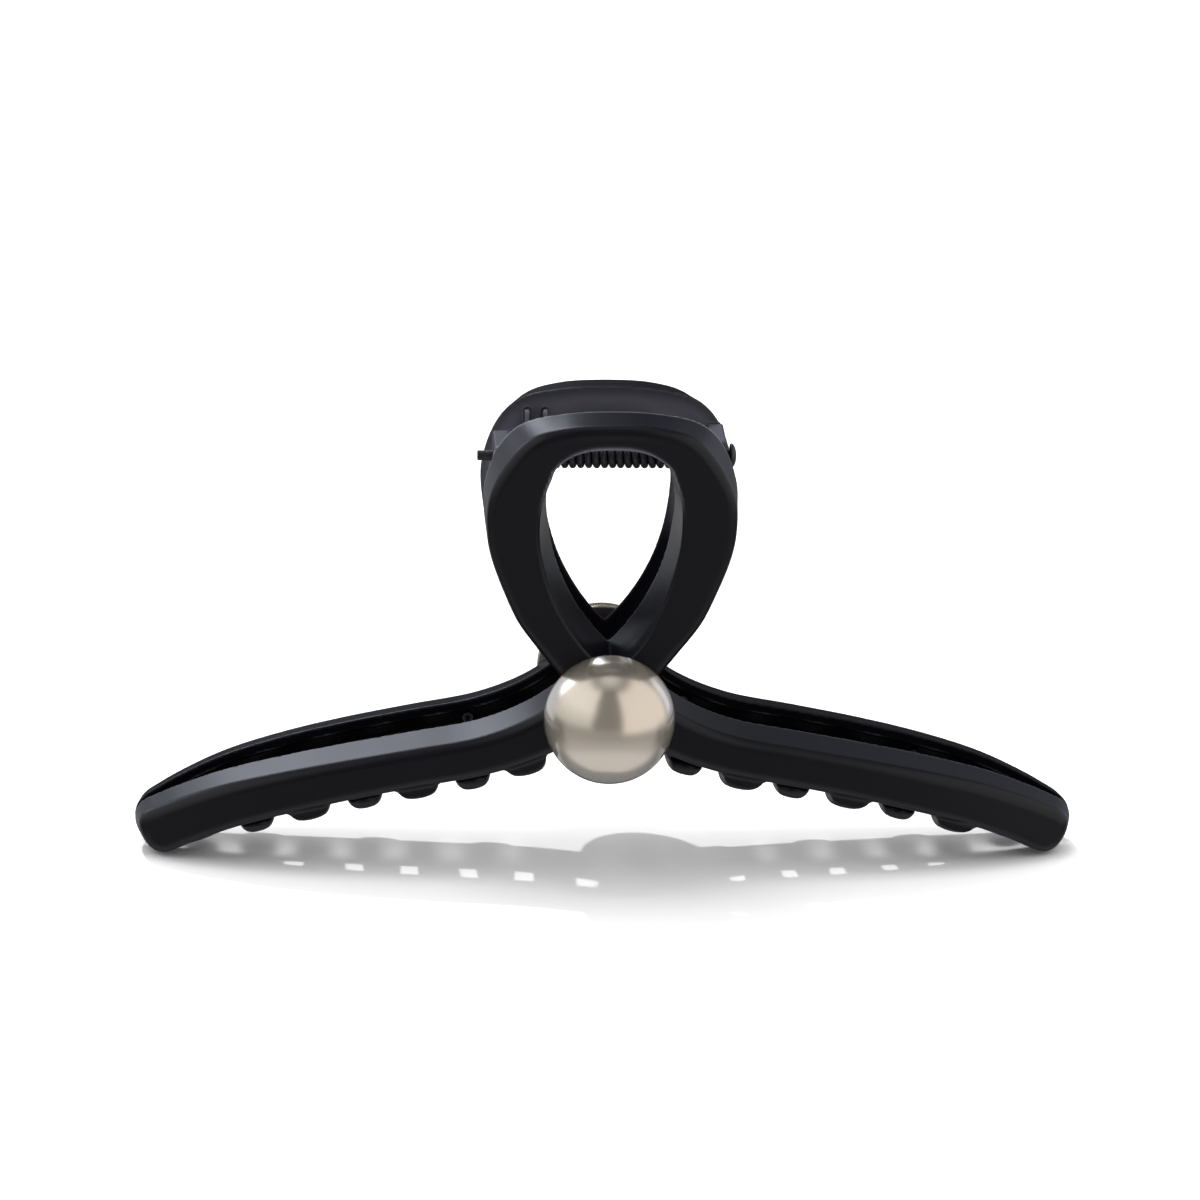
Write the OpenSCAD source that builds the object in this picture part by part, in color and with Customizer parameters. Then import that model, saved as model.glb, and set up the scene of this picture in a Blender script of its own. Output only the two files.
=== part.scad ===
// Claw clip: two crossed-strand jaws on a sprung hinge, with a half pearl on each jaw.
// Frame: +X along the arms, -Y is the front jaw's side, +Z up. The origin is on the
// surface the clip stands on, under the middle of the hinge. The clip is closed.

/* [Jaw] */
// Half the overall length, centre to arm tip
half_length = 65; // [62:0.5:68]
// Depth of a jaw's outer face from the middle plane, at the middle
face_depth = 11.4; // [10.5:0.1:12.5]
// How much nearer to the middle plane the outer face is at an arm tip
tip_draw_in = 6.6; // [5.5:0.1:7]
// How far the top of a handle leans outward
handle_lean = 1.5; // [0.8:0.1:1.8]
// Depth of a jaw's side walls, outer face to rim
wall_depth = 6.6; // [5.5:0.1:7]
// Plastic thickness
plastic = 1.5; // [1.2:0.1:1.7]

/* [Hinge] */
// Height of the pin above the surface the clip stands on
pin_z = 56; // [55:0.5:57]
// Diameter of the pin
pin_d = 1.4; // [1.2:0.1:1.5]
// Radial play of the pin in its lugs
pin_play = 0.05; // [0.03:0.01:0.1]
// Outer faces of the outer lugs, from the middle
lug_outer_x = 16; // [15.5:0.1:16.2]
// Thickness of an outer lug
lug_outer_t = 2.3; // [1.8:0.1:2.4]
// Thickness of an inner lug
lug_inner_t = 1.4; // [1.2:0.1:1.6]
// Diameter of the pin's domed head
pin_head_d = 3.4; // [2.8:0.1:3.8]

/* [Spring] */
// Wire diameter of the torsion spring
wire_d = 1; // [0.8:0.05:1.05]
// Number of turns between the two legs
spring_turns = 18; // [14:1:18]

/* [Teeth] */
// Distance between two teeth of one jaw
tooth_pitch = 14.84; // [14.6:0.02:15]
// Width of a tooth at its root
tooth_root_w = 6.1; // [5.4:0.1:6.3]
// Width of a tooth at its tip
tooth_tip_w = 4.9; // [4:0.1:5.2]
// How far the teeth hang below the arm, near the middle
tooth_drop = 3.6; // [3:0.1:4.4]

/* [Pearl] */
// Diameter of a pearl
pearl_d = 18; // [16:0.5:19]
// Height of a pearl's centre
pearl_z = 21.9; // [21:0.1:23]

/* [Hidden] */
$fn = 48;
plastic_colour = [0.11, 0.11, 0.13];
pearl_colour = [0.79, 0.76, 0.71];
steel_colour = [0.16, 0.16, 0.17];
eps = 0.01;
least_half_width = 0.15;
spare = 2;

// One strand of a jaw runs from the top of the loop, down the right limb, across the
// middle and out along the left arm. Each entry is [x, z, half width].
strand = [
    [0, 62.4, 2.35], [6.3, 61.75, 2.65], [11.1, 59.1, 3.8], [13, 53.6, 4.3],
    [12.8, 48.2, 4.3], [11.6, 42.6, 4.2], [9.5, 37.3, 4.1], [6.5, 32.3, 4.1],
    [2.4, 27.6, 4.1], [-3.2, 22.9, 4.05], [-9.6, 18.8, 3.85], [-17, 16.05, 3.7],
    [-26, 14.3, 3.7], [-34.5, 12.6, 3.75], [-43, 10.6, 3.85], [-51, 8.3, 3.9],
    [-57, 5.85, 3.9], [-half_length + 3.9, 3.75, 3.9]
];
strand_steps = 4;
strand_last = len(strand) - 1;
tip_steps = 10;
tip_round = 2.3;
tip_cap = 3.75;

// The outer face in plan and the leaning handle
plan_power = 4.4;
rim_power = 4;
tip_wall_loss = 2.1;
lean_start_z = 33;
handle_top_z = 66;
lean_power = 1.5;
plan_steps = 26;
lean_steps = 8;

// Hinge
lug_r = 2.7;
lug_top = 2.9;
lug_inner_top = 1.9;
lug_corner = 0.5;
lug_sink = 0.3;
lug_root_in = 0.2;
lug_free_in = 1.2;
lug_gap = 0.35;
lug_inner_x = lug_outer_x - lug_outer_t - lug_gap;
pin_left_x = -18.1;
pin_right_x = lug_outer_x + 0.6;
pin_head_t = 0.9;
pin_head_root = 0.2;
fork_x = [8.6, 11.1];
fork_t = 0.8;
fork_foot = 0.8;
fork_top = 4.5;
fork_root_in = -0.4;
fork_end_y = -4.6;

// Spring
coil_bore = 1.6;
coil_r = (coil_bore + wire_d) / 2;
wire_sides = 8;
turn_steps = 12;
leg_steps = 6;
leg_reach = 10.2;
leg_rise = 2.6;

// Teeth: the first one right of the middle on the front jaw
tooth_start = tooth_pitch / 4;
tooth_first = -4;
tooth_last = 3;
tooth_floor_gap = 1;
tooth_side_gap = 0.4;
tooth_reach = 7.6;
tooth_root_in = 1.2;
tooth_max_tilt = 15;
tooth_t = 2.1;
tooth_under_y = 0.3;
tooth_under_r = 22;
tooth_over_y = 1.5;
tooth_over_r = 26;
nub_d = 1.6;
nub_rise = 1.4;
nub_root = 0.2;
nub_places = [[18.7, 15.6], [-11.3, 18], [-43.6, 10.4]];

// Pearl
pearl_cut = 0.4;
peg_d = 2.4;
peg_l = 3.4;
peg_root = 0.5;
peg_play = 0.05;
peg_end_gap = 0.2;

// ---------- outline of a jaw ----------

// Catmull-Rom blend of four values
function blend4(a, b, c, d, t) =
    0.5 * (2 * b + (c - a) * t + (2 * a - 5 * b + 4 * c - d) * t * t + (3 * b - a - 3 * c + d) * t * t * t);
function mirrored_x(p) = [-p[0], p[1], p[2]];
function strand_knot(i) =
    i < 0 ? mirrored_x(strand[1]) :
    i > strand_last ? 2 * strand[strand_last] - strand[strand_last - 1] : strand[i];
function strand_at(i, t) =
    blend4(strand_knot(i - 1), strand_knot(i), strand_knot(i + 1), strand_knot(i + 2), t);
function heading(i, t) =
    let (d = strand_at(i, t + eps) - strand_at(i, t - eps))
    [d[0], d[1]] / norm([d[0], d[1]]);
function beside(i, t, side, inset) =
    let (p = strand_at(i, t), h = heading(i, t), w = max(p[2] - inset, least_half_width) * side)
    [p[0] - h[1] * w, p[1] + h[0] * w];
steps = [for (i = [0 : strand_last - 1], k = [0 : strand_steps - 1]) [i, k / strand_steps]];
function last_first(list) = [for (i = [len(list) - 1 : -1 : 0]) list[i]];
// The rounded end of an arm, as a super-ellipse across the strand
function tip_arc(inset) =
    let (
        p = strand[strand_last],
        h = heading(strand_last - 1, 1),
        w = p[2] - inset,
        l = tip_cap - inset
    )
    [for (k = [0 : tip_steps])
        let (
            a = 90 - 180 * k / tip_steps,
            u = l * pow(cos(a), 2 / tip_round),
            v = w * sign(sin(a)) * pow(abs(sin(a)), 2 / tip_round)
        )
        [p[0] + h[0] * u - h[1] * v, p[1] + h[1] * u + h[0] * v]];

module strand_outline(inset) {
    polygon(concat(
        [for (s = steps) beside(s[0], s[1], 1, inset)],
        tip_arc(inset),
        last_first([for (s = steps) beside(s[0], s[1], -1, inset)])
    ));
}

module outline(inset) {
    strand_outline(inset);
    mirror([1, 0]) strand_outline(inset);
}

// ---------- depth of a jaw ----------

function face_y(x) = -(face_depth - tip_draw_in * pow(abs(x) / half_length, plan_power));
function rim_y(x) = face_y(x) + wall_depth - tip_wall_loss * pow(abs(x) / half_length, rim_power);
function lean_y(z) = -handle_lean * pow(max(z - lean_start_z, 0) / (handle_top_z - lean_start_z), lean_power);

// The space between the outer face moved in by start and either the rim or the middle plane
module depth_slab(start, to_middle) {
    reach = half_length + spare;
    xs = [for (k = [0 : plan_steps]) -reach + 2 * reach * k / plan_steps];
    zs = [for (k = [0 : lean_steps])
        lean_start_z + (handle_top_z - lean_start_z) * k / lean_steps];
    translate([0, 0, -spare]) linear_extrude(lean_start_z + spare)
        polygon(concat(
            [for (x = xs) [x, face_y(x) + start]],
            last_first([for (x = xs) [x, to_middle ? 0 : rim_y(x)]])
        ));
    rotate([90, 0, 90]) translate([0, 0, -reach]) linear_extrude(2 * reach)
        polygon(concat(
            [for (z = zs) [-face_depth + lean_y(z) + start, z]],
            last_first([for (z = zs) [to_middle ? 0 : wall_depth - face_depth + lean_y(z), z]])
        ));
}

module upright(inset) {
    rotate([90, 0, 0]) linear_extrude(face_depth + 2 * spare) outline(inset);
}

module shell() {
    difference() {
        intersection() {
            upright(0);
            depth_slab(0, false);
            translate([-half_length - spare, -face_depth - 2 * spare, 0])
                cube([2 * (half_length + spare), face_depth + 2 * spare, handle_top_z]);
        }
        intersection() {
            upright(plastic);
            depth_slab(plastic, true);
        }
    }
}

// ---------- features of a jaw ----------

// Height of the underside of an arm at x, between the knots of the strand
function under_z(x) =
    let (
        d = -abs(x),
        i = [for (k = [8 : strand_last - 1]) if (strand[k][0] >= d && strand[k + 1][0] <= d) k][0],
        t = (strand[i][0] - d) / (strand[i][0] - strand[i + 1][0]),
        p = strand_at(i, t),
        h = heading(i, t)
    )
    p[1] - p[2] / abs(h[0]);

// Tilt of an arm at x, in degrees down from level, limited near the crossing
function arm_tilt(x) =
    let (fall = under_z(abs(x) - 1) - under_z(abs(x) + 1))
    sign(x) * min(atan(fall / 2), tooth_max_tilt);

// A round bar across a tooth whose lowest line is at y and z
module cheek(y, z, r) {
    translate([0, y, z + r]) rotate([0, 90, 0])
        cylinder(r = r, h = 3 * tooth_root_w, center = true, $fn = 128);
}

// A claw tooth: the space between two arcs, narrowing to a round tip past the middle plane.
// One with too little height to pass under the other jaw's arm stops short of it.
module tooth(x) {
    shrink = -face_y(x) / face_depth;
    base = under_z(x);
    drop = min(tooth_drop * shrink, base - tooth_floor_gap);
    clear_y = -rim_y(abs(x) + tooth_root_w / 2) - tooth_side_gap;
    tip_y = drop < tooth_drop * shrink ? clear_y : tooth_reach * shrink;
    root_y = face_y(x) + tooth_root_in;
    tip_r = tooth_tip_w / 2;
    translate([x, 0, base]) rotate([0, arm_tilt(x), 0]) intersection() {
        difference() {
            cheek(tooth_under_y * shrink, -drop, tooth_under_r * shrink);
            cheek(tooth_over_y * shrink, tooth_t * shrink - drop, tooth_over_r * shrink);
        }
        translate([0, 0, -drop - 1]) linear_extrude(drop + 1 + plastic) {
            polygon([
                [-tooth_root_w / 2, root_y], [tooth_root_w / 2, root_y],
                [tip_r, tip_y - tip_r], [-tip_r, tip_y - tip_r]
            ]);
            translate([0, tip_y - tip_r]) circle(tip_r);
        }
    }
}

module teeth() {
    for (k = [tooth_first : tooth_last])
        tooth(tooth_start + tooth_pitch * k);
}

// A plate of the hinge between x0 and x0 + t: it stands on the handle's inside, is flat on top
// and reaches past the pin
module lug(x0, t, top) {
    intersection() {
        translate([x0, 0, pin_z]) rotate([90, 0, 90]) linear_extrude(t) {
            circle(lug_r);
            translate([-face_depth + lug_root_in, -lug_r]) square([face_depth - lug_root_in, lug_r + top]);
            translate([-lug_r, 0]) square([2 * lug_r - lug_corner, top]);
            translate([lug_r - lug_corner, top - lug_corner]) circle(lug_corner);
            translate([0, 0]) square([lug_r, top - lug_corner]);
        }
        union() {
            upright(lug_sink);
            translate([-half_length, wall_depth - face_depth - lug_free_in, 0])
                cube([2 * half_length, face_depth, handle_top_z]);
        }
    }
}

// Two thin ribs that hold a leg of the spring
module fork() {
    for (x = fork_x)
        translate([x - fork_t / 2, -face_depth + fork_root_in, pin_z + fork_foot])
            cube([fork_t, face_depth - fork_root_in + fork_end_y, fork_top - fork_foot]);
}

module nubs() {
    for (n = nub_places)
        translate([n[0], face_y(n[0]) + plastic - nub_root, n[1]])
            rotate([-90, 0, 0]) cylinder(d = nub_d, h = nub_rise + nub_root);
}

module pearl_peg() {
    translate([0, -face_depth + peg_root, pearl_z])
        rotate([90, 0, 0]) cylinder(d = peg_d, h = peg_l + peg_root);
}

module pin_bore() {
    translate([-half_length, 0, pin_z])
        rotate([0, 90, 0]) cylinder(d = pin_d + 2 * pin_play, h = 2 * half_length);
}

module jaw() {
    color(plastic_colour) difference() {
        union() {
            shell();
            teeth();
            lug(-lug_outer_x, lug_outer_t, lug_top);
            lug(lug_inner_x - lug_inner_t, lug_inner_t, lug_inner_top);
            fork();
            nubs();
            pearl_peg();
        }
        pin_bore();
    }
}

module front_jaw() {
    jaw();
}

module rear_jaw() {
    rotate([0, 0, 180]) jaw();
}

// ---------- hinge pin, spring and pearls ----------

module hinge_pin() {
    head_r = pin_head_d / 2;
    dome_r = (head_r * head_r + pin_head_t * pin_head_t) / (2 * pin_head_t);
    color(steel_colour) translate([0, 0, pin_z]) rotate([0, 90, 0]) {
        translate([0, 0, pin_left_x]) cylinder(d = pin_d, h = pin_right_x - pin_left_x + pin_head_root);
        translate([0, 0, pin_right_x]) rotate_extrude() intersection() {
            translate([0, pin_head_t - dome_r]) circle(dome_r, $fn = 96);
            square([head_r + 1, pin_head_t]);
        }
    }
}

// Centre line of the spring: a leg, the close-wound turns, and the other leg, turned by 180 degrees
// about Z. The legs lie between the fork ribs and press on the insides of the two handles.
coil_pitch = (fork_x[0] + fork_x[1]) / spring_turns;
coil_end = (fork_x[0] + fork_x[1]) / 2;
leg_run = [for (k = [1 : leg_steps]) k / leg_steps];
function leg_point(u) = [
    coil_end,
    -leg_reach * u,
    coil_r + leg_rise * u * u
];
function half_turned(p) = [-p[0], -p[1], p[2]];
function coil_point(k) =
    let (a = 360 * k / turn_steps, u = k / (turn_steps * spring_turns))
    [coil_end * (1 - 2 * u), coil_r * sin(a), coil_r * cos(a)];
spring_line = concat(
    last_first([for (u = leg_run) leg_point(u)]),
    [for (k = [0 : turn_steps * spring_turns]) coil_point(k)],
    [for (u = leg_run) half_turned(leg_point(u))]
);
spring_last = len(spring_line) - 1;

function unit(v) = v / norm(v);
function along(i) = unit(spring_line[min(i + 1, spring_last)] - spring_line[max(i - 1, 0)]);
function wire_ring(i) =
    let (t = along(i), side = unit(cross(t, [1, 0, 0.001])), up = cross(side, t))
    [for (s = [0 : wire_sides - 1])
        let (a = 360 * s / wire_sides)
        spring_line[i] + wire_d / 2 * (side * cos(a) + up * sin(a))];

module torsion_spring() {
    rings = [for (i = [0 : spring_last]) each wire_ring(i)];
    walls = [for (i = [0 : spring_last - 1], s = [0 : wire_sides - 1])
        let (a = i * wire_sides, n = (s + 1) % wire_sides)
        [a + s, a + n, a + wire_sides + n, a + wire_sides + s]];
    start = [for (s = [wire_sides - 1 : -1 : 0]) s];
    end = [for (s = [0 : wire_sides - 1]) spring_last * wire_sides + s];
    color(steel_colour) translate([0, 0, pin_z]) polyhedron(rings, concat(walls, [start, end]));
}

// A ball with a flat back and a blind hole that slips over the peg
module pearl() {
    color(pearl_colour) translate([0, -face_depth, pearl_z]) rotate([90, 0, 0]) rotate_extrude($fn = 96)
        difference() {
            intersection() {
                translate([0, pearl_cut]) circle(d = pearl_d, $fn = 96);
                square(pearl_d);
            }
            square([peg_d / 2 + peg_play, peg_l + peg_end_gap]);
        }
}

module front_pearl() {
    pearl();
}

module rear_pearl() {
    rotate([0, 0, 180]) pearl();
}

front_jaw();
rear_jaw();
hinge_pin();
torsion_spring();
front_pearl();
rear_pearl();
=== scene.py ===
"""Looks for the claw clip: jaws as a distance model turned into smooth meshes, pearls, pin and spring."""
import math

import bpy
import numpy as np
import openvdb
from mathutils import Matrix, Vector

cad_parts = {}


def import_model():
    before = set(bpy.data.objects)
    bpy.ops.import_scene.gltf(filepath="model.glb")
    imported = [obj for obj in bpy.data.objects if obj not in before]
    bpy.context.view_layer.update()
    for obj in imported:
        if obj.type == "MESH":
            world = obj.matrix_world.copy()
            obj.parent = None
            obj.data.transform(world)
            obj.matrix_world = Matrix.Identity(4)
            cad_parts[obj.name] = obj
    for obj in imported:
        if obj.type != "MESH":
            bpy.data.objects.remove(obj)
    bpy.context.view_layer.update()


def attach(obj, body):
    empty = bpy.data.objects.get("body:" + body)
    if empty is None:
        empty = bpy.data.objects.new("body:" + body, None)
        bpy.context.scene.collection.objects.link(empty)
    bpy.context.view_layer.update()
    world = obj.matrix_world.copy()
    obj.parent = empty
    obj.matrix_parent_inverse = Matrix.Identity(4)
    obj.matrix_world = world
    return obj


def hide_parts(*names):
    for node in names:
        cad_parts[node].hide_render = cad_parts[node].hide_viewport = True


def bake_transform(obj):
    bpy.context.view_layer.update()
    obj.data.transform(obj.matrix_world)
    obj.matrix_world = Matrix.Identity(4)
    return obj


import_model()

MM = 0.001

# ---------- sizes in millimetres, the same as the CAD model's or close to them ----------

HALF_LENGTH = 65.0
FACE_DEPTH = 11.4
TIP_DRAW_IN = 6.6
PLAN_POWER = 4.4
HANDLE_LEAN = 1.5
LEAN_START_Z = 33.0
HANDLE_TOP_Z = 66.0
WALL_DEPTH = 6.6
TIP_WALL_LOSS = 2.1
PLASTIC = 1.5
# x, z and half width along one strand, from the top of the handle to the tip of its arm
STRAND = [
    (0, 62.4, 2.35), (6.3, 61.75, 2.65), (11.1, 59.1, 3.8), (13, 53.6, 4.3),
    (12.8, 48.2, 4.3), (11.6, 42.6, 4.2), (9.5, 37.3, 4.1), (6.5, 32.3, 4.1),
    (2.4, 27.6, 4.1), (-3.2, 22.9, 4.05), (-9.6, 18.8, 3.85), (-17, 16.05, 3.7),
    (-26, 14.3, 3.7), (-34.5, 12.6, 3.75), (-43, 10.6, 3.85), (-51, 8.3, 3.9),
    (-57, 5.85, 3.9), (-61.1, 3.75, 3.9),
]
TIP_ROUND = 2.3
TIP_CAP = 3.75
TIP_STEPS = 33
PIN_Z = 56.0
PIN_D = 1.4
PIN_LEFT, PIN_RIGHT = -18.1, 16.6
PIN_HEAD_D, PIN_HEAD_T = 3.4, 0.9
PIN_ROUND, PIN_HEAD_ROUND = 0.15, 0.2
PIN_BORE_R = 0.75
LUG_OUTER_X, LUG_OUTER_T, LUG_OUTER_TOP = 16.0, 2.3, 2.9
LUG_INNER_X, LUG_INNER_T, LUG_INNER_TOP = 13.35, 1.4, 1.9
LUG_R = 2.7
FORK_X = (8.6, 11.1)
FORK_T = 0.8
FORK_Z = (56.8, 61.2)
FORK_END_Y = -4.6
WIRE_R, WIRE_END = 0.5, 0.72
COIL_R = 1.3
SPRING_TURNS = 18
TURN_STEPS = 28
WIRE_SIDES = 14
COIL_END = 9.85
LEG_REACH = 10.2
LEG_RISE = 2.6
TOOTH_PITCH = 14.84
TOOTH_ROOT_W, TOOTH_TIP_W = 6.1, 4.9
TOOTH_DROP = 3.6
TOOTH_REACH = 7.6
TOOTH_UNDER_R, TOOTH_OVER_R = 24, 26
TOOTH_THICK = 2.4
TOOTH_TRIM, TOOTH_SETBACK = 0.75, 0.5
TOOTH_ROUND, TOOTH_PLAN_ROUND = 0.9, 1.2
TOOTH_ROOT_DEPTH = 1.2
TOOTH_MAX_TILT = 15
TOOTH_FLOOR_GAP, TOOTH_RIM_GAP = 1, 0.4
PEARL_D, PEARL_Z, PEARL_CUT = 18.0, 21.9, 0.4
PEARL_EDGE = 0.25
PEG_D, PEG_L = 2.4, 3.4
NUBS = ((18.7, 15.6), (-11.3, 18), (-43.6, 10.4))  # x and z
NUB_R, NUB_H = 0.8, 1.9
STRAND_FILLET, HOLLOW_FILLET = 0.3, 0.6
TOOTH_FILLET, LUG_FILLET, RIB_FILLET, NUB_FILLET, PEG_FILLET = 0.5, 0.35, 0.3, 0.3, 0.1
RIM_EDGE, HOLLOW_EDGE, BORE_EDGE, FOOT_EDGE, POST_EDGE = 0.3, 0.25, 0.1, 0.15, 0.2

# How far the outer walls draw in from rim to face: on the arms, and on the handle's top, corners and limbs
ARM_BEVEL, TOP_BEVEL, CORNER_BEVEL, LIMB_BEVEL = 1.1, 1.25, 0.75, 0.4
# The same round the loop's hole, and how much less or more of it the right limb has
HOLE_BEVEL, HOLE_MIDDLE_BEVEL, HOLE_LOW_BEVEL = 0.4, 1.35, 0.5
RIGHT_MIDDLE_BEVEL, RIGHT_LOW_BEVEL, RIGHT_FOOT_BEVEL = -0.45, 0.1, 1.2
HOLE_CORNER, HOLE_TOP, TOP_RIM = 0.42, 0.3, 0.65
OUTER_EDGE_R, HOLE_EDGE_R = 1.3, 0.5
LOOP_FADE = 2.4
CROSSING_SINK, CROSSING_Z, CROSSING_SPREAD = 0.35, 28, 9
HOLLOW_ROUND, HOLLOW_SETBACK = 0.9, 0.1
HANDLE_DISH = 0.3
NO_HOLLOW = 8  # added to the hollow's distance in the handle, which has none

VOXEL = 0.335
SLAB = 24  # voxel planes worked out at a time
GRID_BAND = 3  # voxels
SLOPE_STEP = 0.08
CREEP = 0.4  # most that a point moves in one pass, in voxels
GRID_MARGIN = 0.7
GRID_DEPTH_MARGIN = 0.9
GRID_TOP_Z = 65.7
FIELD_STEP = 0.2
FIELD_BLUR = 2
FIELD_MARGIN = 4
FIELD_LOW_Z, FIELD_HIGH_Z = -5.0, 70
LINE_STEPS = 8
PEARL_SEGMENTS, PEARL_STEPS, PIN_SEGMENTS = 128, 72, 48
HANDLE_MIDDLE_Z = 47


# ---------- distance helpers ----------

def cut_round(a, b, r):
    """Where both a and b are inside, with an edge of radius r between them."""
    return np.minimum(-r, np.maximum(a, b)) + np.hypot(np.maximum(a + r, 0), np.maximum(b + r, 0))


def join_round(a, b, r):
    """Where a or b is inside, with a fillet of radius r between them."""
    return np.maximum(r, np.minimum(a, b)) - np.hypot(np.maximum(r - a, 0), np.maximum(r - b, 0))


def smooth(v, start, end):
    t = np.clip((v - start) / (end - start), 0, 1)
    return t * t * (3 - 2 * t)


def bump(v, middle, spread):
    return np.exp(-((v - middle) / spread) ** 2)


def polygon_distance(points, x, z):
    """Distance to a closed polygon, below 0 inside it."""
    best = np.full(x.shape, 1e9, np.float32)
    inside = np.zeros(x.shape, bool)
    for (ax, az), (bx, bz) in zip(points, np.roll(points, -1, axis=0)):
        ex, ez = bx - ax, bz - az
        px, pz = x - ax, z - az
        t = np.clip((px * ex + pz * ez) / (ex * ex + ez * ez + 1e-12), 0, 1)
        dx, dz = px - t * ex, pz - t * ez
        np.minimum(best, dx * dx + dz * dz, out=best)
        if ez:
            side = (az <= z) != (bz <= z)
            inside ^= side & (x < ax + (z - az) * (ex / ez))
    return np.where(inside, -1, 1) * np.sqrt(best)


def blurred(f, passes):
    for _ in range(passes):
        for axis in (0, 1):
            f = (np.roll(f, 1, axis) + 2 * f + np.roll(f, -1, axis)) / 4
    return f


# ---------- outline of one strand of a jaw ----------

def strand_line(steps):
    """The strand's middle line and half width, smoothed through its knots."""
    k = np.array(STRAND, float)
    first = k[1] * (-1, 1, 1)
    last = 2 * k[-1] - k[-2]
    k = np.vstack([first, k, last])
    out = []
    for i in range(1, len(k) - 2):
        a, b, c, d = k[i - 1:i + 3]
        for t in np.arange(steps) / steps:
            out.append(0.5 * (2 * b + (c - a) * t + (2 * a - 5 * b + 4 * c - d) * t ** 2
                              + (3 * b - a - 3 * c + d) * t ** 3))
    out.append(k[-2])
    return np.array(out)


def strand_polygon(line):
    d = np.gradient(line[:, :2], axis=0)
    d /= np.linalg.norm(d, axis=1)[:, None]
    n = np.stack([-d[:, 1], d[:, 0]], 1)
    w = line[:, 2:3]
    left, right = line[:, :2] + n * w, line[:, :2] - n * w
    p, h, s = line[-1, :2], d[-1], n[-1]
    a = np.radians(np.linspace(90, -90, TIP_STEPS))[1:-1, None]
    u = TIP_CAP * np.cos(a) ** (2 / TIP_ROUND)
    v = line[-1, 2] * np.sign(np.sin(a)) * np.abs(np.sin(a)) ** (2 / TIP_ROUND)
    return np.vstack([left, p + h * u + s * v, right[::-1]])


class Field:
    """A function of x and z, tabulated once and read off smoothly."""

    def __init__(self, points):
        self.x0, self.z0 = -HALF_LENGTH - FIELD_MARGIN, FIELD_LOW_Z
        xs = np.arange(self.x0, HALF_LENGTH + FIELD_MARGIN, FIELD_STEP, dtype=np.float32)
        zs = np.arange(self.z0, FIELD_HIGH_Z, FIELD_STEP, dtype=np.float32)
        x, z = np.meshgrid(xs, zs, indexing="ij")
        self.f = blurred(polygon_distance(points.astype(np.float32), x, z), FIELD_BLUR).astype(np.float32)

    def at(self, x, z):
        u = np.clip((x - self.x0) / FIELD_STEP, 0, self.f.shape[0] - 1.001)
        v = np.clip((z - self.z0) / FIELD_STEP, 0, self.f.shape[1] - 1.001)
        i, j = u.astype(np.int32), v.astype(np.int32)
        u, v = u - i, v - j
        f = self.f
        return ((f[i, j] * (1 - u) + f[i + 1, j] * u) * (1 - v)
                + (f[i, j + 1] * (1 - u) + f[i + 1, j + 1] * u) * v)


line = strand_line(LINE_STEPS)
ARMS_START = 8 * LINE_STEPS  # at the knot where the strand has crossed the middle and its arm begins
over_the_top = line[LINE_STEPS:0:-1] * (-1, 1, 1)
strand_field = Field(strand_polygon(np.vstack([over_the_top, line])))
loop_half = line[:ARMS_START + 5, :2]
loop_field = Field(np.vstack([loop_half, loop_half[:0:-1] * (-1, 1)]))


# ---------- depth of a jaw ----------

def face_y(x):
    return -(FACE_DEPTH - TIP_DRAW_IN * (np.abs(x) / HALF_LENGTH) ** PLAN_POWER)


def rim_y(x):
    return face_y(x) + WALL_DEPTH - TIP_WALL_LOSS * (np.abs(x) / HALF_LENGTH) ** 4


def lean_y(z):
    return -HANDLE_LEAN * (np.maximum(z - LEAN_START_Z, 0) / (HANDLE_TOP_Z - LEAN_START_Z)) ** 1.5


def in_loop(x, z):
    """1 well inside the loop's middle line, 0 outside it."""
    return smooth(-loop_field.at(x, z), 0.0, LOOP_FADE)


def insets(x, z, side_x):
    """How far the walls lie inside the outline at the rim and at the outer face, and the face's edge radius.

    side_x is 1 for the strand of the right limb. Heights and insets are in millimetres, and around is in
    degrees from the top of the handle.
    """
    inner = in_loop(x, z) * smooth(z, 25, 29)
    handle = smooth(z, 30, 36)
    around = np.degrees(np.arctan2(np.abs(x), z - HANDLE_MIDDLE_Z))
    outer = ARM_BEVEL * (1 - handle) + handle * (
        TOP_BEVEL * (1 - smooth(around, 50, 92)) + CORNER_BEVEL * bump(around, 46, 13)
        + LIMB_BEVEL * smooth(around, 92, 120))
    right = (1 + side_x) / 2
    hole = (HOLE_BEVEL + (HOLE_MIDDLE_BEVEL + RIGHT_MIDDLE_BEVEL * right) * smooth(z, 57, 45)
            + (HOLE_LOW_BEVEL + RIGHT_LOW_BEVEL * right) * smooth(z, 46, 34)
            + RIGHT_FOOT_BEVEL * right * smooth(z, 37, 31))
    corner = (HOLE_CORNER * bump(around, 35, 17) + HOLE_TOP * bump(around, 0, 24)) * handle
    rim = TOP_RIM * (1 - smooth(around, 15, 75)) * handle * (1 - inner) - corner * inner
    edge = OUTER_EDGE_R * (1 - inner) + HOLE_EDGE_R * inner
    return rim, outer * (1 - inner) + (hole - corner) * inner, edge


def wall(x, y, z, side_x):
    """Distance to the side walls of one strand, and the radius of the face's edge."""
    rim, face, edge = insets(x, z, side_x)
    up = np.clip((rim_y(np.abs(x)) + lean_y(z) - y) / WALL_DEPTH, 0, 1.1)
    return strand_field.at(x * side_x, z) + rim + (face - rim) * up, edge


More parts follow.
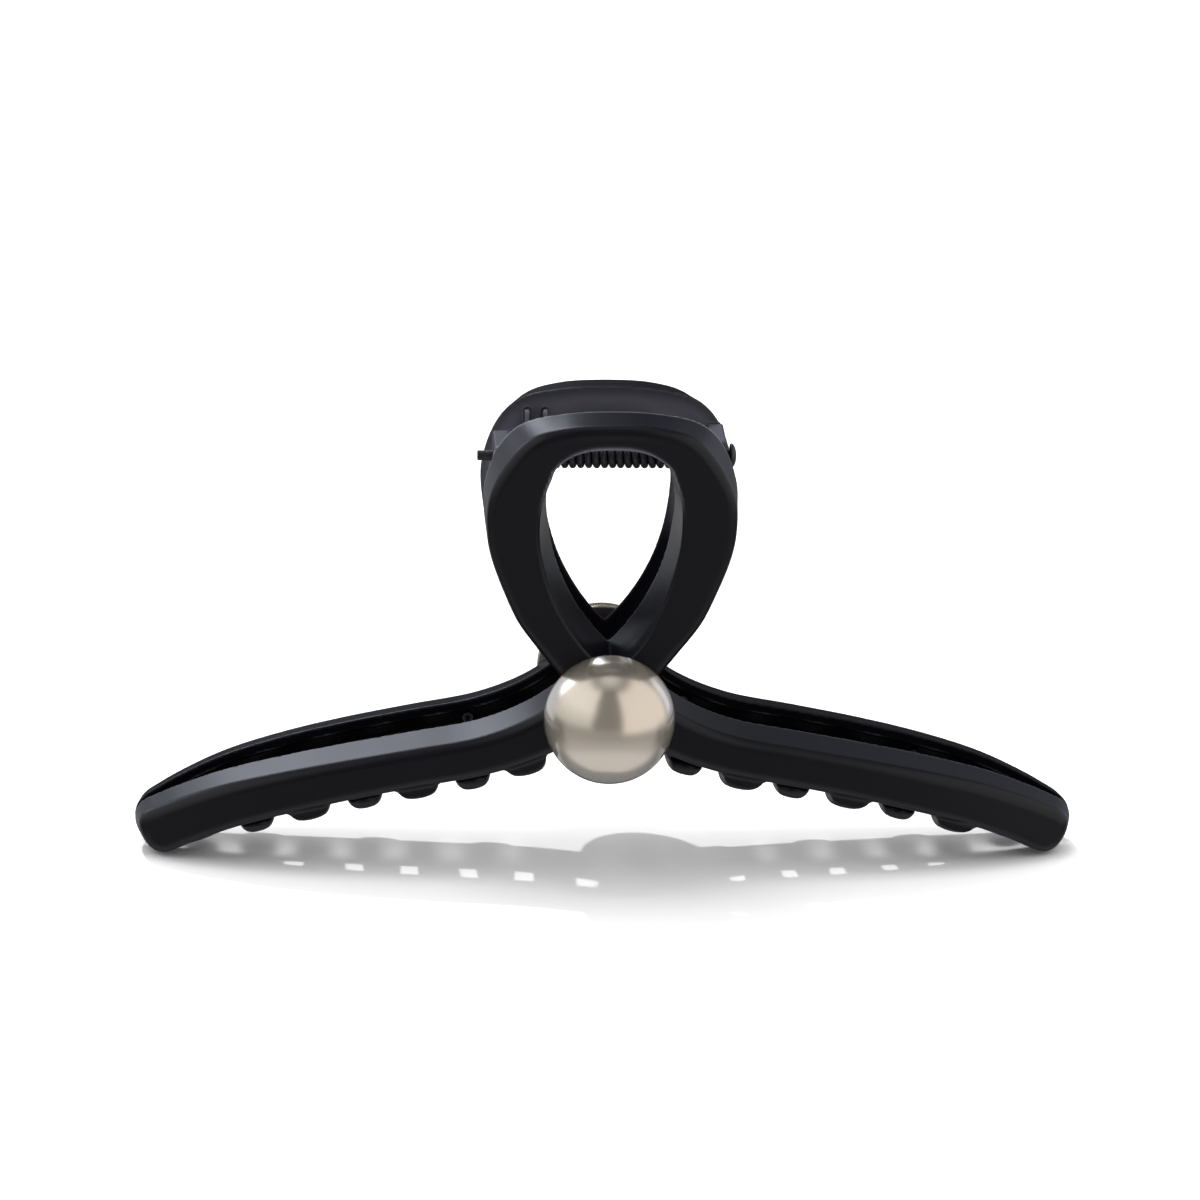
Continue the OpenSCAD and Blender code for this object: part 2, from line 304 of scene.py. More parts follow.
def strand_solid(x, y, z, side_x):
    """Distances to one strand's outside and to the hollow in its back, and the depth of its rim."""
    xa = np.abs(x)
    front = face_y(xa) + lean_y(z)
    back = rim_y(xa) + lean_y(z)
    sunk = CROSSING_SINK * (1 + side_x) / 2 * bump(np.hypot(x, z - CROSSING_Z), 0, CROSSING_SPREAD)
    side, edge = wall(x, y, z, side_x)
    out = cut_round(side, front + sunk - y, edge)
    handle = smooth(z, 27, 33)
    hollow = cut_round(side + PLASTIC, front + PLASTIC + HOLLOW_SETBACK - y, HOLLOW_ROUND)
    dish = HANDLE_DISH * smooth(-side, 0.2, 5.0) * handle
    return out, hollow + NO_HOLLOW * handle, back - dish


def under_z(x):
    """Height of the underside of an arm."""
    d = -abs(x)
    i = int(np.argmin(np.abs(line[ARMS_START:, 0] - d))) + ARMS_START
    i = min(max(i, 1), len(line) - 2)
    h = line[i + 1, :2] - line[i - 1, :2]
    h /= np.linalg.norm(h)
    slope = h[1] / h[0]
    return line[i, 1] + (d - line[i, 0]) * slope - line[i, 2] / abs(h[0])


# ---------- features of a jaw: each is a box to work in, a function of points and a fillet ----------

def tooth(centre):
    shrink = -face_y(centre) / FACE_DEPTH
    base = under_z(centre)
    drop = min(TOOTH_DROP * shrink, base - TOOTH_FLOOR_GAP)
    shown = drop - TOOTH_TRIM * shrink
    clear_y = -rim_y(abs(centre) + TOOTH_ROOT_W / 2) - TOOTH_RIM_GAP
    tip_y = clear_y if drop < TOOTH_DROP * shrink else TOOTH_REACH * shrink
    root_y = face_y(centre) + TOOTH_ROOT_DEPTH
    tip_r = TOOTH_TIP_W / 2
    fall = under_z(abs(centre) - 1) - under_z(abs(centre) + 1)
    tilt = math.copysign(min(math.atan(fall / 2), math.radians(TOOTH_MAX_TILT)), centre)
    c, s = math.cos(tilt), math.sin(tilt)

    def shape(x, y, z):
        u = (x - centre) * c - (z - base) * s
        w = (x - centre) * s + (z - base) * c
        ra, rb = TOOTH_UNDER_R * shrink, TOOTH_OVER_R * shrink
        crown = 0.9 * np.minimum(np.abs(u) / 3, 1.3) ** 2.4
        under = np.hypot(y, w - crown + shown - ra) - ra
        over = rb - np.hypot(y - TOOTH_SETBACK * shrink,
                             w - 0.6 * crown + shown - TOOTH_THICK * shrink - rb)
        run = np.clip((y - root_y) / (tip_y - tip_r - root_y), 0, 1)
        half = TOOTH_ROOT_W / 2 + (tip_r - TOOTH_ROOT_W / 2) * run
        plan = np.hypot(u, np.maximum(y - tip_y + tip_r, 0)) - half
        body = cut_round(cut_round(under, over, TOOTH_ROUND), plan, TOOTH_PLAN_ROUND)
        return np.maximum(body, np.maximum(root_y - y, w - PLASTIC))

    reach = TOOTH_ROOT_W / 2 + 1.5
    low = (centre - reach, root_y - 1, base - drop - 2)
    high = (centre + reach, tip_y + 1, base + 3)
    return (low, high), shape, TOOTH_FILLET


def lug(x0, thick, top):
    hz = (top + LUG_R) / 2
    cy, hy = (LUG_R - FACE_DEPTH + 0.2) / 2, (LUG_R + FACE_DEPTH - 0.2) / 2
    cz = PIN_Z + (top - LUG_R) / 2

    def shape(x, y, z):
        q, w = y - cy, z - cz
        r = np.where(q > 0, np.where(w > 0, 0.55, min(LUG_R, hz)), 0)
        a, b = np.abs(q) - hy + r, np.abs(w) - hz + r
        flat = np.minimum(np.maximum(a, b), 0) + np.hypot(np.maximum(a, 0), np.maximum(b, 0)) - r
        plate = cut_round(flat, np.abs(x - x0 - thick / 2) - thick / 2, 0.28)
        room = np.minimum(jaw_wall(x, y, z) + 0.4, WALL_DEPTH - FACE_DEPTH - 1.2 - y)
        return np.maximum(plate, room)

    low = (x0 - 1, -FACE_DEPTH - 1, PIN_Z - LUG_R - 1)
    high = (x0 + thick + 1, LUG_R + 1, PIN_Z + top + 1)
    return (low, high), shape, LUG_FILLET


def rib(middle):
    def shape(x, y, z):
        a = np.abs(x - middle) - FORK_T / 2
        b = np.maximum(y - FORK_END_Y, -FACE_DEPTH - y)
        c = np.abs(z - (FORK_Z[0] + FORK_Z[1]) / 2) - (FORK_Z[1] - FORK_Z[0]) / 2
        return cut_round(cut_round(b, c, 0.6), a, 0.35)

    low = (middle - 1.5, -FACE_DEPTH - 1, FORK_Z[0] - 1)
    high = (middle + 1.5, FORK_END_Y + 1, FORK_Z[1] + 1)
    return (low, high), shape, RIB_FILLET


def post(x0, z0, y0, y1, r, fillet):
    def shape(x, y, z):
        return cut_round(np.hypot(x - x0, z - z0) - r, np.maximum(y0 - y, y - y1), POST_EDGE)

    return ((x0 - r - 1, y0 - 1, z0 - r - 1), (x0 + r + 1, y1 + 1, z0 + r + 1)), shape, fillet


def jaw_wall(x, y, z):
    return np.minimum(wall(x, y, z, -1)[0], wall(x, y, z, 1)[0])


FEATURES = [tooth(TOOTH_PITCH / 4 + TOOTH_PITCH * k) for k in range(-4, 4)]
FEATURES += [
    lug(-LUG_OUTER_X, LUG_OUTER_T, LUG_OUTER_TOP),
    lug(LUG_INNER_X - LUG_INNER_T, LUG_INNER_T, LUG_INNER_TOP),
    rib(FORK_X[0]), rib(FORK_X[1]),
]
FEATURES += [
    post(x, z, face_y(x) + PLASTIC - 0.2, face_y(x) + PLASTIC + NUB_H, NUB_R, NUB_FILLET) for x, z in NUBS
]
FEATURES.append(post(0, PEARL_Z, -FACE_DEPTH - PEG_L, -FACE_DEPTH + 0.5, PEG_D / 2, PEG_FILLET))


def jaw_field(x, y, z):
    """Distance to the front jaw's surface, below 0 inside, and distance to its hollow."""
    a, hollow_a, back_a = strand_solid(x, y, z, -1)
    b, hollow_b, back_b = strand_solid(x, y, z, 1)
    top = smooth(z, 46, 52)
    body = join_round(a, b, STRAND_FILLET) * (1 - top) + np.minimum(a, b) * top
    hollow = join_round(hollow_a, hollow_b, HOLLOW_FILLET)
    body = cut_round(body, y - np.minimum(back_a, back_b), RIM_EDGE)
    body = cut_round(body, -hollow, HOLLOW_EDGE)
    for (low, high), shape, fillet in FEATURES:
        near = np.flatnonzero((x > low[0]) & (x < high[0]) & (y > low[1]) & (y < high[1])
                              & (z > low[2]) & (z < high[2]))
        if len(near):
            part = shape(x[near], y[near], z[near])
            body[near] = join_round(body[near], part, fillet)
    body = cut_round(body, PIN_BORE_R - np.hypot(y, z - PIN_Z), BORE_EDGE)
    return cut_round(body, -z, FOOT_EDGE), hollow


def glint(x, y, z):
    """Painted highlight: how strongly each point takes it, on the rims and along the top of the hole's edge.
    """
    side = jaw_wall(x, y, z)
    front, back = face_y(x) + lean_y(z), rim_y(x) + lean_y(z)
    inner = in_loop(x, z) * smooth(z, 50, 56)
    rim = bump(side, -0.03, 0.26) * bump(y - back, -0.1, 0.26) * (1 - inner)
    rim = rim * (0.2 + 0.8 * smooth(z, 44, 52))
    return np.maximum(rim, 0.5 * inner * bump(side, -0.12, 0.16) * bump(y - front, 0.12, 0.2))


def hinge_end_highlights(x, y, z, n):
    """Painted highlight on the ends of the fork ribs and nubs and on the tops of the lugs, which it makes a
    little greyer.
    """
    rib_x = np.minimum(np.abs(x - FORK_X[0]), np.abs(x - FORK_X[1]))
    ribs = (rib_x < 0.5) & (y > FORK_END_Y - 0.5) & (z > FORK_Z[0] + 0.3)
    lugs = (np.abs(x) > LUG_INNER_X - LUG_INNER_T) & (y > WALL_DEPTH - FACE_DEPTH - 0.8) & (z > PIN_Z + 1.2)
    grey = 0.5 * ribs * smooth(n[:, 1] + n[:, 2], 0.4, 0.9) + 0.3 * lugs * smooth(n[:, 2], 0.3, 0.8)
    for nub_x, nub_z in NUBS:
        r = np.hypot(x - nub_x, z - nub_z)
        ring = (r < NUB_R + 0.2) & (y > face_y(x) + PLASTIC + NUB_H - 0.5)
        grey = np.maximum(grey, 0.6 * ring * smooth(r, 0.3, 0.6))
    return grey


def painted_light_and_matt(p, n):
    """How much painted light and matt finish each point takes: the back of the handle, most of all low down
    and away from its edges.
    """
    back = smooth(n[:, 1], 0.3, 0.8) * smooth(p[:, 2], 42, 50) * (1.3 - 0.6 * smooth(p[:, 2], 55, 64))
    return back * (0.4 + 0.6 * smooth(-jaw_wall(*p.T), 0.1, 1.9))


def jaw_mesh():
    """Points, quads, normals and material masks of the front jaw, in millimetres."""
    low = np.array([-HALF_LENGTH - GRID_MARGIN, -FACE_DEPTH - PEG_L - GRID_DEPTH_MARGIN, -GRID_MARGIN])
    high = np.array([HALF_LENGTH + GRID_MARGIN, TOOTH_REACH + GRID_DEPTH_MARGIN, GRID_TOP_Z])
    n = np.ceil((high - low) / VOXEL).astype(int) + 1
    axes = [(low[i] + VOXEL * np.arange(n[i])).astype(np.float32) for i in range(3)]
    out = np.empty(n, np.float32)
    for i in range(0, n[0], SLAB):
        x, y, z = (g.ravel() for g in np.meshgrid(axes[0][i:i + SLAB], axes[1], axes[2], indexing="ij"))
        out[i:i + SLAB] = jaw_field(x, y, z)[0].reshape(-1, n[1], n[2])
    band = GRID_BAND * VOXEL
    grid = openvdb.FloatGrid(band)
    grid.copyFromArray(np.ascontiguousarray(np.clip(out, -band, band)), tolerance=0.0)
    points, quads = grid.convertToQuads(0.0)
    p = points.astype(np.float64) * VOXEL + low

    def slope(q):
        g = []
        for axis in np.eye(3) * SLOPE_STEP:
            g.append((jaw_field(*(q + axis).T.astype(np.float32))[0]
                      - jaw_field(*(q - axis).T.astype(np.float32))[0]) / (2 * SLOPE_STEP))
        return np.stack(g, 1)

    for _ in range(2):
        g = slope(p)
        f = jaw_field(*p.T.astype(np.float32))[0]
        step = f / np.maximum((g * g).sum(1), 0.25)
        p -= np.clip(step, -CREEP * VOXEL, CREEP * VOXEL)[:, None] * g
    g = slope(p)
    g /= np.maximum(np.linalg.norm(g, axis=1), 1e-6)[:, None]
    hollow = jaw_field(*p.T.astype(np.float32))[1]
    a, b, c = p[quads[:, 0]], p[quads[:, 1]], p[quads[:, 2]]
    if (np.cross(b - a, c - a) * g[quads[:, 0]]).sum() < 0:
        quads = quads[:, ::-1]
    masks = {"hollow": 1 - smooth(np.abs(hollow), 0.1, 0.5), "matt": painted_light_and_matt(p, g), "glint": glint(*p.T),
             "ends": hinge_end_highlights(*p.T, g)}
    return p, quads, g, masks


# ---------- meshes ----------

def new_object(name, points, faces, body, node, normals=None, masks=None):
    mesh = bpy.data.meshes.new(name)
    faces = faces.tolist() if isinstance(faces, np.ndarray) else faces
    mesh.from_pydata((np.asarray(points) * MM).tolist(), [], faces)
    mesh.polygons.foreach_set("use_smooth", [True] * len(mesh.polygons))
    for key, values in (masks or {}).items():
        mesh.attributes.new(key, "FLOAT", "POINT").data.foreach_set("value", values.astype(np.float32))
    mesh.validate()
    mesh.update()
    if normals is not None:
        mesh.normals_split_custom_set_from_vertices(normals.tolist())
    obj = bpy.data.objects.new(name, mesh)
    bpy.context.scene.collection.objects.link(obj)
    if body:
        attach(obj, body)
    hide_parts(node)
    return obj


def half_turn(p):
    return p * (-1, -1, 1)


points, quads, normals, masks = jaw_mesh()
# Painted highlight of the hinge ends, added to the glint mask; on the rear jaw it is the whole of that mask.
ends = masks.pop("ends")
masks["glint"] = np.maximum(masks["glint"], ends)
front_jaw = new_object("jaw_front", points, quads, "front_half", "front_jaw",
                       normals=normals, masks=masks)
masks["glint"] = ends
rear_jaw = new_object("jaw_rear", half_turn(points), quads, "rear_half", "rear_jaw",
                      normals=half_turn(normals), masks=masks)


def lathe(profile, segments):
    """Turns a profile of (radius, height) pairs about the height axis; radius 0 ends close to a point."""
    points, rings, faces = [], [], []
    for r, h in profile:
        if r < 1e-6:
            rings.append([len(points)] * segments)
            points.append((0, 0, h))
        else:
            rings.append(list(range(len(points), len(points) + segments)))
            a = 2 * np.pi * np.arange(segments) / segments
            points += list(zip(r * np.cos(a), r * np.sin(a), np.full(segments, h)))
    for low, high in zip(rings, rings[1:]):
        for k in range(segments):
            m = (k + 1) % segments
            quad = [low[k], low[m], high[m], high[k]]
            faces.append([v for i, v in enumerate(quad) if v != quad[i - 1]])
    return np.array(points, float), faces


def pearl_profile():
    r, edge = PEARL_D / 2, PEARL_EDGE
    start = math.asin(-(PEARL_CUT - edge) / (r - edge))
    out = [(0, 0), (r - 1.5, 0)]
    cx = (r - edge) * math.cos(start)
    for t in np.linspace(-math.pi / 2, start, 6):
        out.append((cx + edge * math.cos(t), edge + edge * math.sin(t)))
    for t in np.linspace(start, math.pi / 2, PEARL_STEPS)[1:]:
        out.append((max(r * math.cos(t), 0), PEARL_CUT + r * math.sin(t)))
    out[-1] = (0, PEARL_CUT + r)
    return out


pearl_points, pearl_faces = lathe(pearl_profile(), PEARL_SEGMENTS)
pearl_points = np.stack([pearl_points[:, 0], -FACE_DEPTH - pearl_points[:, 2],
                         PEARL_Z + pearl_points[:, 1]], 1)
front_pearl = new_object("pearl_front", pearl_points, pearl_faces, "front_half", "front_pearl")
rear_pearl = new_object("pearl_rear", half_turn(pearl_points), pearl_faces, "rear_half",
                        "rear_pearl")


def pin_profile():
    r, head, a, b = PIN_D / 2, PIN_HEAD_D / 2, PIN_ROUND, PIN_HEAD_ROUND
    out = [(0, PIN_LEFT), (r - a, PIN_LEFT)]
    corner = np.linspace(0.2, 1.57, 5)
    out += [(r - a + a * math.sin(t), PIN_LEFT + a - a * math.cos(t)) for t in corner]
    out += [(r, PIN_RIGHT), (head - b, PIN_RIGHT)]
    out += [(head - b + b * math.sin(t), PIN_RIGHT + b - b * math.cos(t)) for t in corner]
    rise = PIN_HEAD_T - b
    dome = np.linspace(0, math.pi / 2, 14)[1:-1]
    out += [(head * math.cos(t), PIN_RIGHT + b + rise * math.sin(t)) for t in dome]
    out.append((0, PIN_RIGHT + PIN_HEAD_T))
    return out


pin_points, pin_faces = lathe(pin_profile(), PIN_SEGMENTS)
pin_points = np.stack([pin_points[:, 2], pin_points[:, 0], PIN_Z + pin_points[:, 1]], 1)
pin = new_object("pin", pin_points, pin_faces, "front_half", "hinge_pin")


def tube(path, radius, sides):
    """A round wire along a path, a little thinner at both ends."""
    path = np.asarray(path, float)
    along = np.gradient(path, axis=0)
    along /= np.linalg.norm(along, axis=1)[:, None]
    side = np.cross(along, (1, 0, 0.001))  # not quite x, so that it is never along the wire
    side /= np.linalg.norm(side, axis=1)[:, None]
    up = np.cross(side, along)
    a = 2 * np.pi * np.arange(sides) / sides
    radii = np.full(len(path), radius)
    radii[0] = radii[-1] = radius * WIRE_END
    rings = path[:, None] + radii[:, None, None] * (
        side[:, None] * np.cos(a)[:, None] + up[:, None] * np.sin(a)[:, None])
    faces = []
    for i in range(len(path) - 1):
        for k in range(sides):
            m = (k + 1) % sides
            faces.append([i * sides + k, i * sides + m, (i + 1) * sides + m, (i + 1) * sides + k])
    faces.append(list(range(sides))[::-1])
    faces.append([(len(path) - 1) * sides + k for k in range(sides)])
    return rings.reshape(-1, 3), faces


def spring_path():
    leg = [(COIL_END, -LEG_REACH * u, COIL_R + LEG_RISE * u * u) for u in np.linspace(0, 1, 13)[1:]]
    steps = TURN_STEPS * SPRING_TURNS
    coil = []
    for k in range(steps + 1):
        a, u = 2 * math.pi * k / TURN_STEPS, k / steps
        coil.append((COIL_END * (1 - 2 * u), COIL_R * math.sin(a), COIL_R * math.cos(a)))
    path = leg[::-1] + coil + [(-x, -y, z) for x, y, z in leg]
    return np.array(path) + (0, 0, PIN_Z)


spring_points, spring_faces = tube(spring_path(), WIRE_R, WIRE_SIDES)
spring = new_object("spring", spring_points, spring_faces, None, "torsion_spring")
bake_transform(spring)


# ---------- materials ----------

BLACKS = (0.0022, 0.0022, 0.0048, 1), (0.0032, 0.0032, 0.0066, 1)
# The first colour here is painted light, which lightens the back of the handle.
# The second colour here is a painted highlight for the rims, the hole's edge and the hinge ends.
PAINTED_BACK_LIGHT, PAINTED_HIGHLIGHT = (0.1100, 0.1060, 0.1320, 1), (0.22, 0.23, 0.28, 1)
STEELS = (0.020, 0.020, 0.024, 1), (0.045, 0.043, 0.048, 1)
PEARLS = (0.56, 0.50, 0.42, 1), (0.62, 0.555, 0.47, 1)
FLOORS = (0.94, 0.94, 0.945, 1), (0.955, 0.955, 0.955, 1)
MATT_ROUGHNESS = 0.58


class Nodes:
    """A material's node tree. Wherever a value is asked for, another node's output will do as well."""

    def __init__(self, name):
        self.material = bpy.data.materials.new(name)
        self.material.use_nodes = True
        self.tree = self.material.node_tree
        self.shader = self.tree.nodes["Principled BSDF"]
        self.place = self.add("ShaderNodeTexCoord").outputs["Object"]

    def put(self, value, socket):
        if isinstance(value, bpy.types.NodeSocket):
            self.tree.links.new(value, socket)
        else:
            socket.default_value = value

    def add(self, kind, **values):
        node = self.tree.nodes.new(kind)
        for key, value in values.items():
            if key in node.inputs:
                self.put(value, node.inputs[key])
            else:
                setattr(node, key, value)
        return node

    def set(self, **values):
        """Sets the shader's inputs."""
        for key, value in values.items():
            self.put(value, self.shader.inputs[key.replace("_", " ")])

    def mask(self, name):
        return self.add("ShaderNodeAttribute", attribute_name=name).outputs["Fac"]

    def noise(self, scale, detail, roughness=0.5):
        return self.add("ShaderNodeTexNoise", Vector=self.place, Scale=scale, Detail=detail,
                        Roughness=roughness).outputs["Fac"]

    def ramp(self, value, low, high, start=0.0, end=1.0):
        """A value that runs from start to end, turned into one from low to high."""
        node = self.add("ShaderNodeMapRange")
        for key, number in (("From Min", start), ("From Max", end), ("To Min", low), ("To Max", high)):
            node.inputs[key].default_value = number
        self.put(value, node.inputs["Value"])
        return node.outputs["Result"]

    def mix(self, factor, a, b, kind="RGBA", clamped=True):
        """a where the factor is 0 and b where it is 1."""
        return self.add("ShaderNodeMix", data_type=kind, clamp_factor=clamped, Factor=factor,
                        A=a, B=b).outputs["Result"]

    def bump(self, height, distance, strength):
        return self.add("ShaderNodeBump", Distance=distance, Strength=strength,
                        Height=height).outputs["Normal"]


def jaw_material():
    m = Nodes("soft_touch_black")
    cloud, wear, grain = m.noise(60.0, 3.0, 0.55), m.noise(900.0, 4.0, 0.7), m.noise(5200.0, 3.0, 0.6)
    inside, matt, edge = m.mask("hollow"), m.mask("matt"), m.mask("glint")
    outer, inner = m.ramp(cloud, 0.29, 0.34, 0.3, 0.7), m.ramp(wear, 0.24, 0.34, 0.3, 0.7)
    rough = m.mix(matt, m.mix(inside, outer, inner, "FLOAT"), MATT_ROUGHNESS, "FLOAT")
    # The matt mask paints the back of the handle lighter, as painted light, and also makes it rougher.
    colour = m.mix(matt, m.mix(cloud, *BLACKS), PAINTED_BACK_LIGHT, clamped=False)
    relief = m.bump(grain, 0.00002, m.ramp(inside, 0.12, 0.18))
    # The glint mask (edge) paints a pale highlight over the black; this is a painted highlight.
    m.set(Base_Color=m.mix(edge, colour, PAINTED_HIGHLIGHT), Roughness=rough, Normal=relief, Specular_IOR_Level=0.24)
    return m.material


def steel_material(name, roughness):
    m = Nodes(name)
    streak = m.noise(1500.0, 3.0)
    rough = m.ramp(streak, roughness - 0.06, roughness + 0.1)
    m.set(Base_Color=m.mix(streak, *STEELS), Roughness=rough, Metallic=0.6)
    return m.material


def pearl_material():
    m = Nodes("champagne_pearl")
    veil, fleck = m.noise(90.0, 4.0), m.noise(4200.0, 2.0)
    relief = m.bump(fleck, 0.000004, 0.15)
    m.set(Base_Color=m.mix(veil, *PEARLS), Roughness=m.ramp(veil, 0.20, 0.26), Normal=relief,
          Metallic=0.76, Coat_Weight=1.0, Coat_Roughness=0.02, Coat_IOR=1.6)
    return m.material


def floor_material():
    m = Nodes("pale_floor")
    m.set(Base_Color=m.mix(m.noise(3.0, 2.0), *FLOORS), Roughness=0.8, Specular_IOR_Level=0.2)
    return m.material


plastic = jaw_material()
pearl = pearl_material()
for obj, material in ((front_jaw, plastic), (rear_jaw, plastic), (front_pearl, pearl), (rear_pearl, pearl),
                      (pin, steel_material("black_steel_pin", 0.35)),
                      (spring, steel_material("black_spring_wire", 0.32))):
    obj.data.materials.append(material)


# ---------- floor, world, lights and camera ----------

floor_mesh = bpy.data.meshes.new("floor")
floor_mesh.from_pydata([(-3, -3, 0), (3, -3, 0), (3, 3, 0), (-3, 3, 0)], [], [(0, 1, 2, 3)])
floor = bpy.data.objects.new("floor", floor_mesh)
bpy.context.scene.collection.objects.link(floor)
floor.data.materials.append(floor_material())
floor.visible_glossy = False

scene = bpy.context.scene
scene.view_settings.view_transform = "Standard"

# Panels of light seen in gloss: azimuth from the back towards the right, elevation, softness, strength
# and colour. Angles in degrees.
COOL, PLAIN, WARM = (0.84, 0.89, 1.0), (1, 0.99, 0.97), (1, 0.95, 0.9)
PANELS = [
    ((-148, -64), (-3, 16), 7, 0.80, PLAIN),
    ((-150, -64), (16, 64), 9, 1.25, PLAIN),
    ((64, 158), (-10, 62), 9, 1.15, WARM),
    ((-64, -22), (-12, 20), 6, 0.75, COOL),
    ((-62, -46), (18, 42), 7, 4.0, COOL),
    ((-62, -24), (20, 58), 6, 0.9, COOL),
    ((-24, -6), (22, 58), 4, 5.2, COOL),
    ((12, 64), (14, 50), 6, 0.30, COOL),
    ((26, 64), (-12, 18), 6, 0.35, COOL),
    ((42, 58), (-6, 26), 4, 0.8, COOL),
    ((-60, -14), (-36, -12), 6, 0.6, PLAIN),
    ((14, 60), (-36, -12), 6, 0.35, PLAIN),
    ((-400, -152), (-4, 60), 8, 0.12, WARM),
    ((150, 400), (-4, 60), 8, 0.12, WARM),
    ((-400, 400), (74, 200), 16, 0.90, PLAIN),
    ((-400, -90), (-34, -4), 6, 0.29, PLAIN),
    ((90, 400), (-34, -4), 6, 0.29, PLAIN),
    ((-400, -70), (-200, -34), 16, 0.60, PLAIN),
    ((70, 400), (-200, -34), 16, 0.60, PLAIN),
    ((-400, 400), (-200, -40), 10, 0.22, COOL),
]
DARK = 0.03
WHITE = 1.38
FILL, FILL_TILT = 1.15, 0.8


def world():
    """Plain white to the camera, brighter from behind in matt light, and panels in a dark studio in gloss."""
    w = bpy.data.worlds.new("studio")
    scene.world = w
    w.use_nodes = True
    tree = w.node_tree
    tree.nodes.clear()
    new, link = tree.nodes.new, tree.links.new

    def maths(operation, *values):
        node = new("ShaderNodeMath")
        node.operation = operation
        for i, value in enumerate(values):
            if isinstance(value, (int, float)):
                node.inputs[i].default_value = value
            else:
                link(value, node.inputs[i])
        return node.outputs[0]

    def step(value, edge, soft):
        node = new("ShaderNodeMapRange")
        node.interpolation_type = "SMOOTHSTEP"
        node.inputs["From Min"].default_value = edge - soft
        node.inputs["From Max"].default_value = edge + soft
        link(value, node.inputs["Value"])
        return node.outputs["Result"]

    out = new("ShaderNodeOutputWorld")
    seen, fill, light = (new("ShaderNodeBackground") for _ in range(3))
    seen.inputs["Color"].default_value = (1, 1, 1, 1)
    seen.inputs["Strength"].default_value = WHITE
    place, axes = new("ShaderNodeTexCoord"), new("ShaderNodeSeparateXYZ")
    link(place.outputs["Generated"], axes.inputs[0])
    x, y, z = axes.outputs
    fill.inputs["Color"].default_value = (1, 1, 1, 1)
    link(maths("MULTIPLY_ADD", y, FILL * FILL_TILT, FILL), fill.inputs["Strength"])
    azimuth = maths("MULTIPLY", maths("ARCTAN2", x, y), 180 / math.pi)
    elevation = maths("MULTIPLY", maths("ARCSINE", z), 180 / math.pi)
    total = None
    for (left, right), (low, high), soft, strength, colour in PANELS:
        across = maths("SUBTRACT", step(azimuth, left, soft), step(azimuth, right, soft))
        upward = maths("SUBTRACT", step(elevation, low, soft), step(elevation, high, soft))
        lit = new("ShaderNodeVectorMath")
        lit.operation = "SCALE"
        lit.inputs[0].default_value = [c * strength for c in colour]
        link(maths("MULTIPLY", across, upward), lit.inputs["Scale"])
        plus = new("ShaderNodeVectorMath")
        plus.operation = "ADD"
        link(lit.outputs["Vector"], plus.inputs[0])
        if total:
            link(total.outputs["Vector"], plus.inputs[1])
        else:
            plus.inputs[1].default_value = (DARK,) * 3
        total = plus
    link(total.outputs["Vector"], light.inputs["Color"])
    path, mix, pick = new("ShaderNodeLightPath"), new("ShaderNodeMixShader"), new("ShaderNodeMixShader")
    link(path.outputs["Is Glossy Ray"], mix.inputs[0])
    link(fill.outputs[0], mix.inputs[1])
    link(light.outputs[0], mix.inputs[2])
    link(path.outputs["Is Camera Ray"], pick.inputs[0])
    link(mix.outputs[0], pick.inputs[1])
    link(seen.outputs[0], pick.inputs[2])
    link(pick.outputs[0], out.inputs["Surface"])


def low_sun(azimuth, elevation, strength, spread):
    """A low light from behind, which shines through between the teeth on to the floor."""
    data = bpy.data.lights.new("low_sun", "SUN")
    data.energy, data.angle = strength, math.radians(spread)
    obj = bpy.data.objects.new("low_sun", data)
    scene.collection.objects.link(obj)
    a, e = math.radians(azimuth), math.radians(elevation)
    away = Vector((math.sin(a) * math.cos(e), math.cos(a) * math.cos(e), math.sin(e)))
    obj.rotation_euler = (-away).to_track_quat("-Z", "Y").to_euler()
    obj.visible_glossy = False


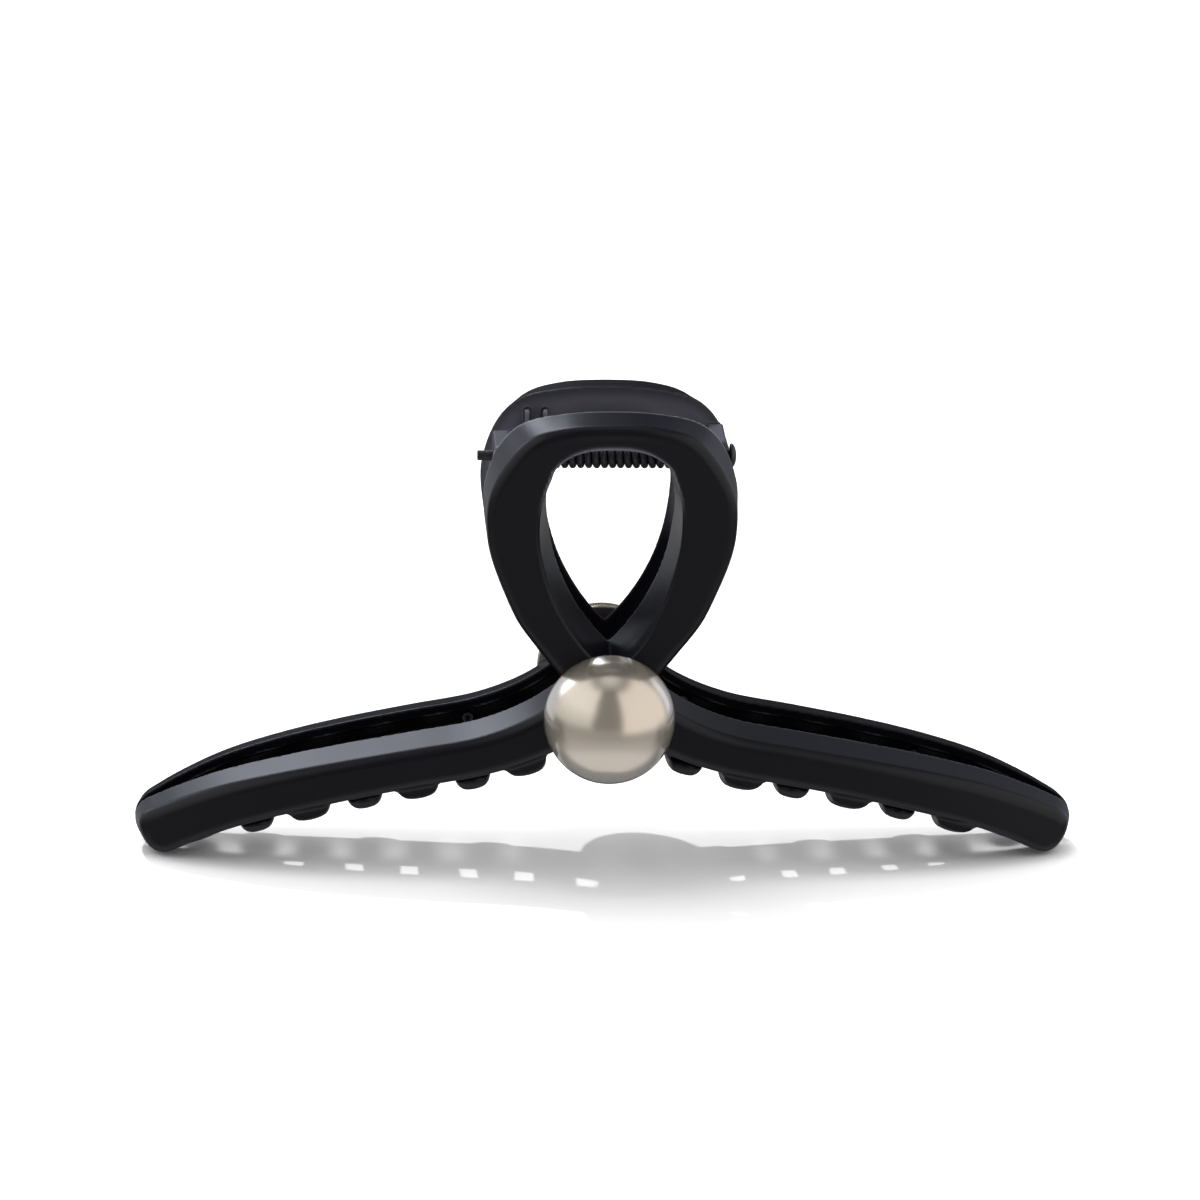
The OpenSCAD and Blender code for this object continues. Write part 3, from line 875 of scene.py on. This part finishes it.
def area_light(name, place, aim, size, power, glossy=True, diffuse=True):
    data = bpy.data.lights.new(name, "AREA")
    data.shape = "RECTANGLE"
    data.size, data.size_y = size
    data.energy = power
    obj = bpy.data.objects.new(name, data)
    scene.collection.objects.link(obj)
    obj.location = place
    obj.rotation_euler = (Vector(aim) - Vector(place)).to_track_quat("-Z", "Y").to_euler()
    obj.visible_glossy = glossy
    obj.visible_diffuse = diffuse
    obj.visible_camera = False


world()
low_sun(azimuth=-17, elevation=47, strength=1.9, spread=1.6)
area_light("over", place=(-0.10, 0.30, 1.20), aim=(0, 0, 0.02), size=(0.45, 0.45), power=4.0, glossy=False)
area_light("strip_high", place=(-0.12, 0.90, 0.97), aim=(0, 0, 0.03), size=(0.34, 0.07), power=0.12,
           diffuse=False)
area_light("strip_low", place=(-0.11, 0.74, 1.08), aim=(0, 0, 0.03), size=(0.22, 0.09), power=0.08,
           diffuse=False)


CAMERA_AZIMUTH, CAMERA_ELEVATION, CAMERA_ROLL = -3.0, 17.0, 0.92  # degrees
CAMERA_TARGET_Z, CAMERA_DISTANCE = 0.03526, 1.2
CAMERA_LENS, CAMERA_SENSOR, CAMERA_SHIFT_X = 261.1, 36.0, -0.0056


def camera():
    azimuth, elevation, roll = (math.radians(a) for a in (CAMERA_AZIMUTH, CAMERA_ELEVATION, CAMERA_ROLL))
    forward = Vector((-math.sin(azimuth) * math.cos(elevation), math.cos(azimuth) * math.cos(elevation),
                      -math.sin(elevation)))
    right = Vector((math.cos(azimuth), math.sin(azimuth), 0))
    up = right.cross(forward)
    right, up = right * math.cos(roll) + up * math.sin(roll), up * math.cos(roll) - right * math.sin(roll)
    data = bpy.data.cameras.new("camera")
    data.sensor_width, data.lens, data.shift_x = CAMERA_SENSOR, CAMERA_LENS, CAMERA_SHIFT_X
    data.clip_start, data.clip_end = 0.05, 20.0
    obj = bpy.data.objects.new("camera", data)
    scene.collection.objects.link(obj)
    place = Vector((0, 0, CAMERA_TARGET_Z)) - forward * CAMERA_DISTANCE
    turn = Matrix((right, up, -forward)).transposed().to_4x4()
    obj.matrix_world = Matrix.Translation(place) @ turn
    scene.camera = obj


camera()
